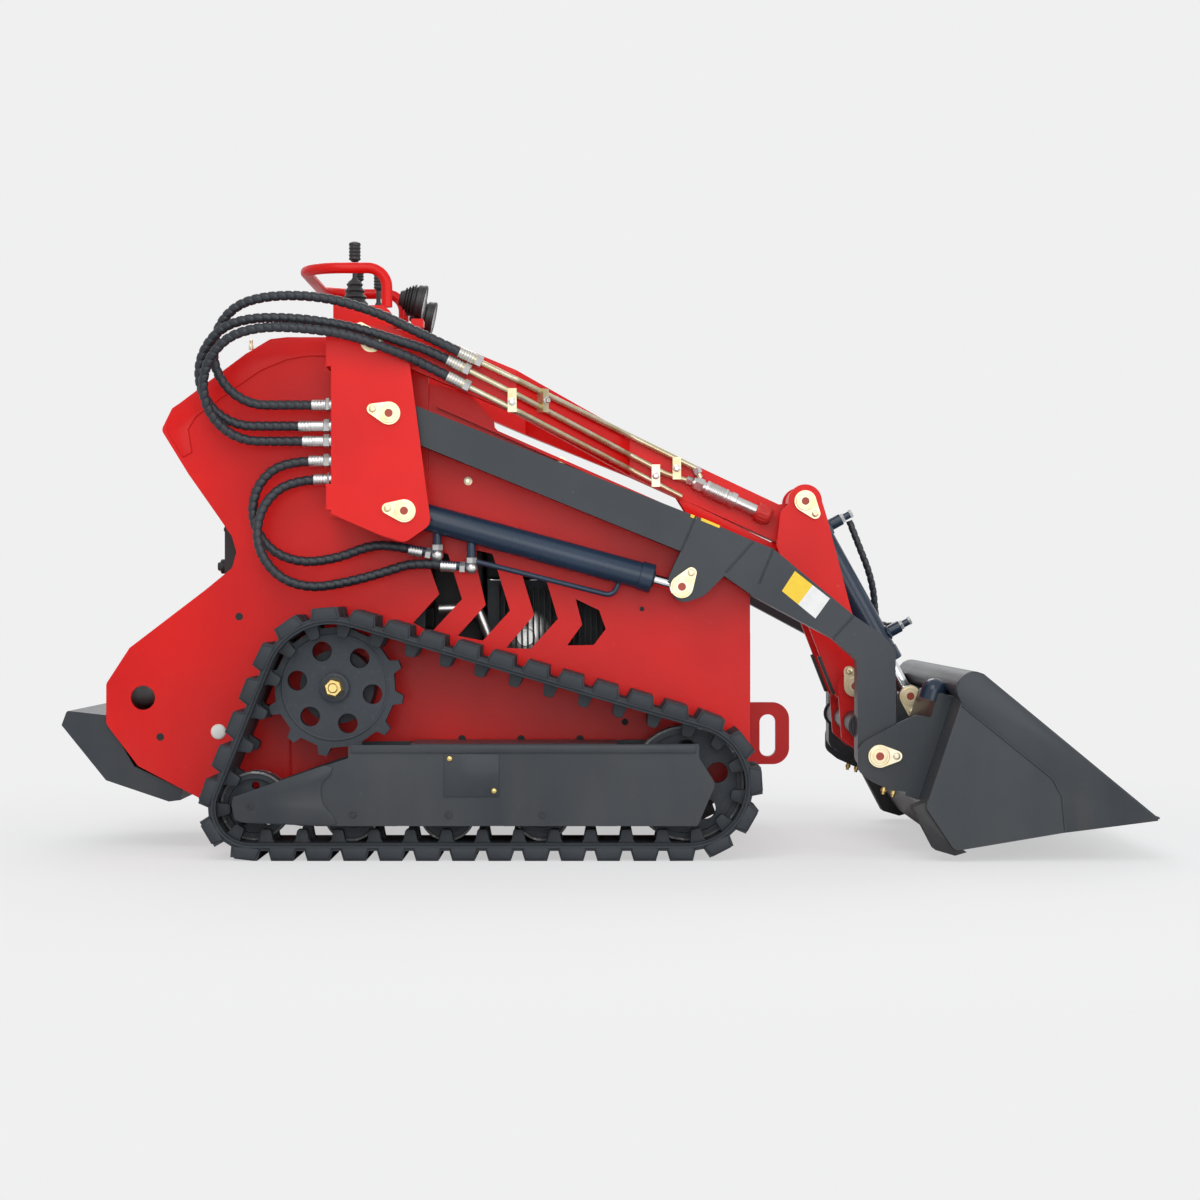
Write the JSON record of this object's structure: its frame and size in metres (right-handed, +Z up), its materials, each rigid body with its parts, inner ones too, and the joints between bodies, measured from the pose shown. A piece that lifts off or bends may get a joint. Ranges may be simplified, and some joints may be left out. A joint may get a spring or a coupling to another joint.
{
  "type": "mini track loader",
  "caption": "Stand-behind mini track loader: red hull on rubber tracks, parallel lift arms with an upper link, hydraulic cylinders and a tilting bucket.",
  "frame": {"origin": "centre of the whole machine's box at ground level", "axes": "+X forward towards the bucket, +Y to the machine's left, +Z up from the ground"},
  "size_m": [2.216, 1, 1.28],
  "materials": {
    "red_paint": "gloss red machine paint",
    "grey_paint": "satin dark grey paint",
    "blue_grey_paint": "semi-gloss blue-grey paint",
    "rubber": "matte black track rubber",
    "black_steel": "dark painted iron",
    "chrome": "polished rod",
    "zinc": "yellow zinc plating",
    "steel": "bright steel",
    "hose_rubber": "spiral wrapped hose",
    "black_plastic": "textured black plastic"
  },
  "bodies": {
    "chassis": {"aux_hose_lower": "hose_rubber", "aux_hose_middle": "hose_rubber", "aux_hose_upper": "hose_rubber", "control_levers": "black_plastic", "dash_panel": "red_paint", "drive_motors": "black_steel", "engine_block": "black_steel", "hose_fittings": "steel", "hull_sides": "red_paint", "hull_tub": "red_paint", "lamp_brackets": "red_paint", "lift_hose_lower": "hose_rubber", "lift_hose_upper": "hose_rubber", "oil_and_fuel_tank": "black_steel", "rear_unit": "black_plastic", "reference_handle": "red_paint", "sprockets": "black_steel", "tail_weight": "grey_paint", "tow_eye": "red_paint", "tower_pins": "steel", "tower_retainers": "zinc", "towers": "red_paint", "track_frames": "grey_paint", "track_idlers": "black_steel", "track_left": "rubber", "track_right": "rubber", "track_rollers": "black_steel", "work_lamps": "black_plastic"},
    "boom": {"boom": "grey_paint", "boom_bracket": "red_paint", "crank_pin": "steel", "boom_retainers": "zinc"},
    "upper_link": {"upper_beam": "red_paint", "beam_pipes": "zinc", "pipe_clamps": "zinc", "quick_coupler": "steel"},
    "crank": {"crank": "red_paint", "crank_retainers": "zinc"},
    "lift_cylinder_right": {"lift_barrel_right": "blue_grey_paint"},
    "lift_cylinder_left": {"lift_barrel_left": "blue_grey_paint"},
    "lift_piston_right": {"lift_rod_right": "chrome"},
    "lift_piston_left": {"lift_rod_left": "chrome"},
    "tilt_cylinder": {"tilt_barrel": "blue_grey_paint", "tilt_hose_upper": "hose_rubber", "tilt_hose_lower": "hose_rubber"},
    "tilt_piston": {"tilt_piston_head": "steel"},
    "tilt_rod": {"tilt_rod": "chrome"},
    "bucket_carrier": {"quick_attach": "grey_paint", "attach_retainers": "zinc", "bucket": "grey_paint"}
  },
  "joints": [
    {"name": "boom_lift", "type": "hinge", "parent": "chassis", "child": "boom", "pos_m": [-0.42, 0, 0.895], "axis": [0, -1, 0], "range_deg": [0, 78]},
    {"name": "upper_link_swing", "type": "hinge", "parent": "chassis", "child": "upper_link", "pos_m": [-0.455, 0, 1.041], "axis": [0, -1, 0], "range_deg": [0, 84], "deforming": ["aux_hose_upper", "aux_hose_middle", "aux_hose_lower"]},
    {"name": "crank_swing", "type": "hinge", "parent": "boom", "child": "crank", "pos_m": [0.5485, 0, 0.335], "axis": [0, -1, 0], "range_deg": [-30, 0]},
    {"name": "lift_cylinder_right_swing", "type": "hinge", "parent": "chassis", "child": "lift_cylinder_right", "pos_m": [-0.389, -0.325, 0.698], "axis": [0, -1, 0], "range_deg": [0, 77], "deforming": ["lift_hose_upper", "lift_hose_lower"]},
    {"name": "lift_cylinder_left_swing", "type": "hinge", "parent": "chassis", "child": "lift_cylinder_left", "pos_m": [-0.389, 0.325, 0.698], "axis": [0, -1, 0], "range_deg": [0, 77]},
    {"name": "lift_piston_right_slide", "type": "slide", "parent": "lift_cylinder_right", "child": "lift_piston_right", "axis": [0.9648, 0, -0.2631], "range_m": [0, 0.256]},
    {"name": "lift_piston_left_slide", "type": "slide", "parent": "lift_cylinder_left", "child": "lift_piston_left", "axis": [0.9648, 0, -0.2631], "range_m": [0, 0.256]},
    {"name": "tilt_cylinder_swing", "type": "hinge", "parent": "crank", "child": "tilt_cylinder", "pos_m": [0.444, 0, 0.729], "axis": [0, -1, 0], "range_deg": [0, 4.5]},
    {"name": "tilt_piston_slide", "type": "slide", "parent": "tilt_cylinder", "child": "tilt_piston", "axis": [0.4821, 0, -0.8761], "range_m": [-0.058, 0]},
    {"name": "tilt_rod_slide", "type": "slide", "parent": "tilt_piston", "child": "tilt_rod", "axis": [0.4821, 0, -0.8761], "range_m": [0, 0.182]},
    {"name": "bucket_tilt", "type": "hinge", "parent": "boom", "child": "bucket_carrier", "pos_m": [0.572, 0, 0.202], "axis": [0, -1, 0], "range_deg": [-75, 0]}
  ],
  "couplings": [
    {"joint": "upper_link_swing", "follows": "boom_lift", "ratio": 1.06},
    {"joint": "crank_swing", "follows": "boom_lift", "ratio": -0.372},
    {"joint": "lift_cylinder_right_swing", "follows": "boom_lift", "ratio": 0.964},
    {"joint": "lift_cylinder_left_swing", "follows": "boom_lift", "ratio": 0.964},
    {"joint": "lift_piston_right_slide", "follows": "boom_lift", "m_per_rad": 0.1856},
    {"joint": "lift_piston_left_slide", "follows": "boom_lift", "m_per_rad": 0.1856},
    {"joint": "tilt_cylinder_swing", "follows": "boom_lift", "ratio": 0.05},
    {"joint": "tilt_piston_slide", "follows": "boom_lift", "m_per_rad": -0.042},
    {"joint": "tilt_rod_slide", "follows": "bucket_tilt", "m_per_rad": -0.1387}
  ]
}
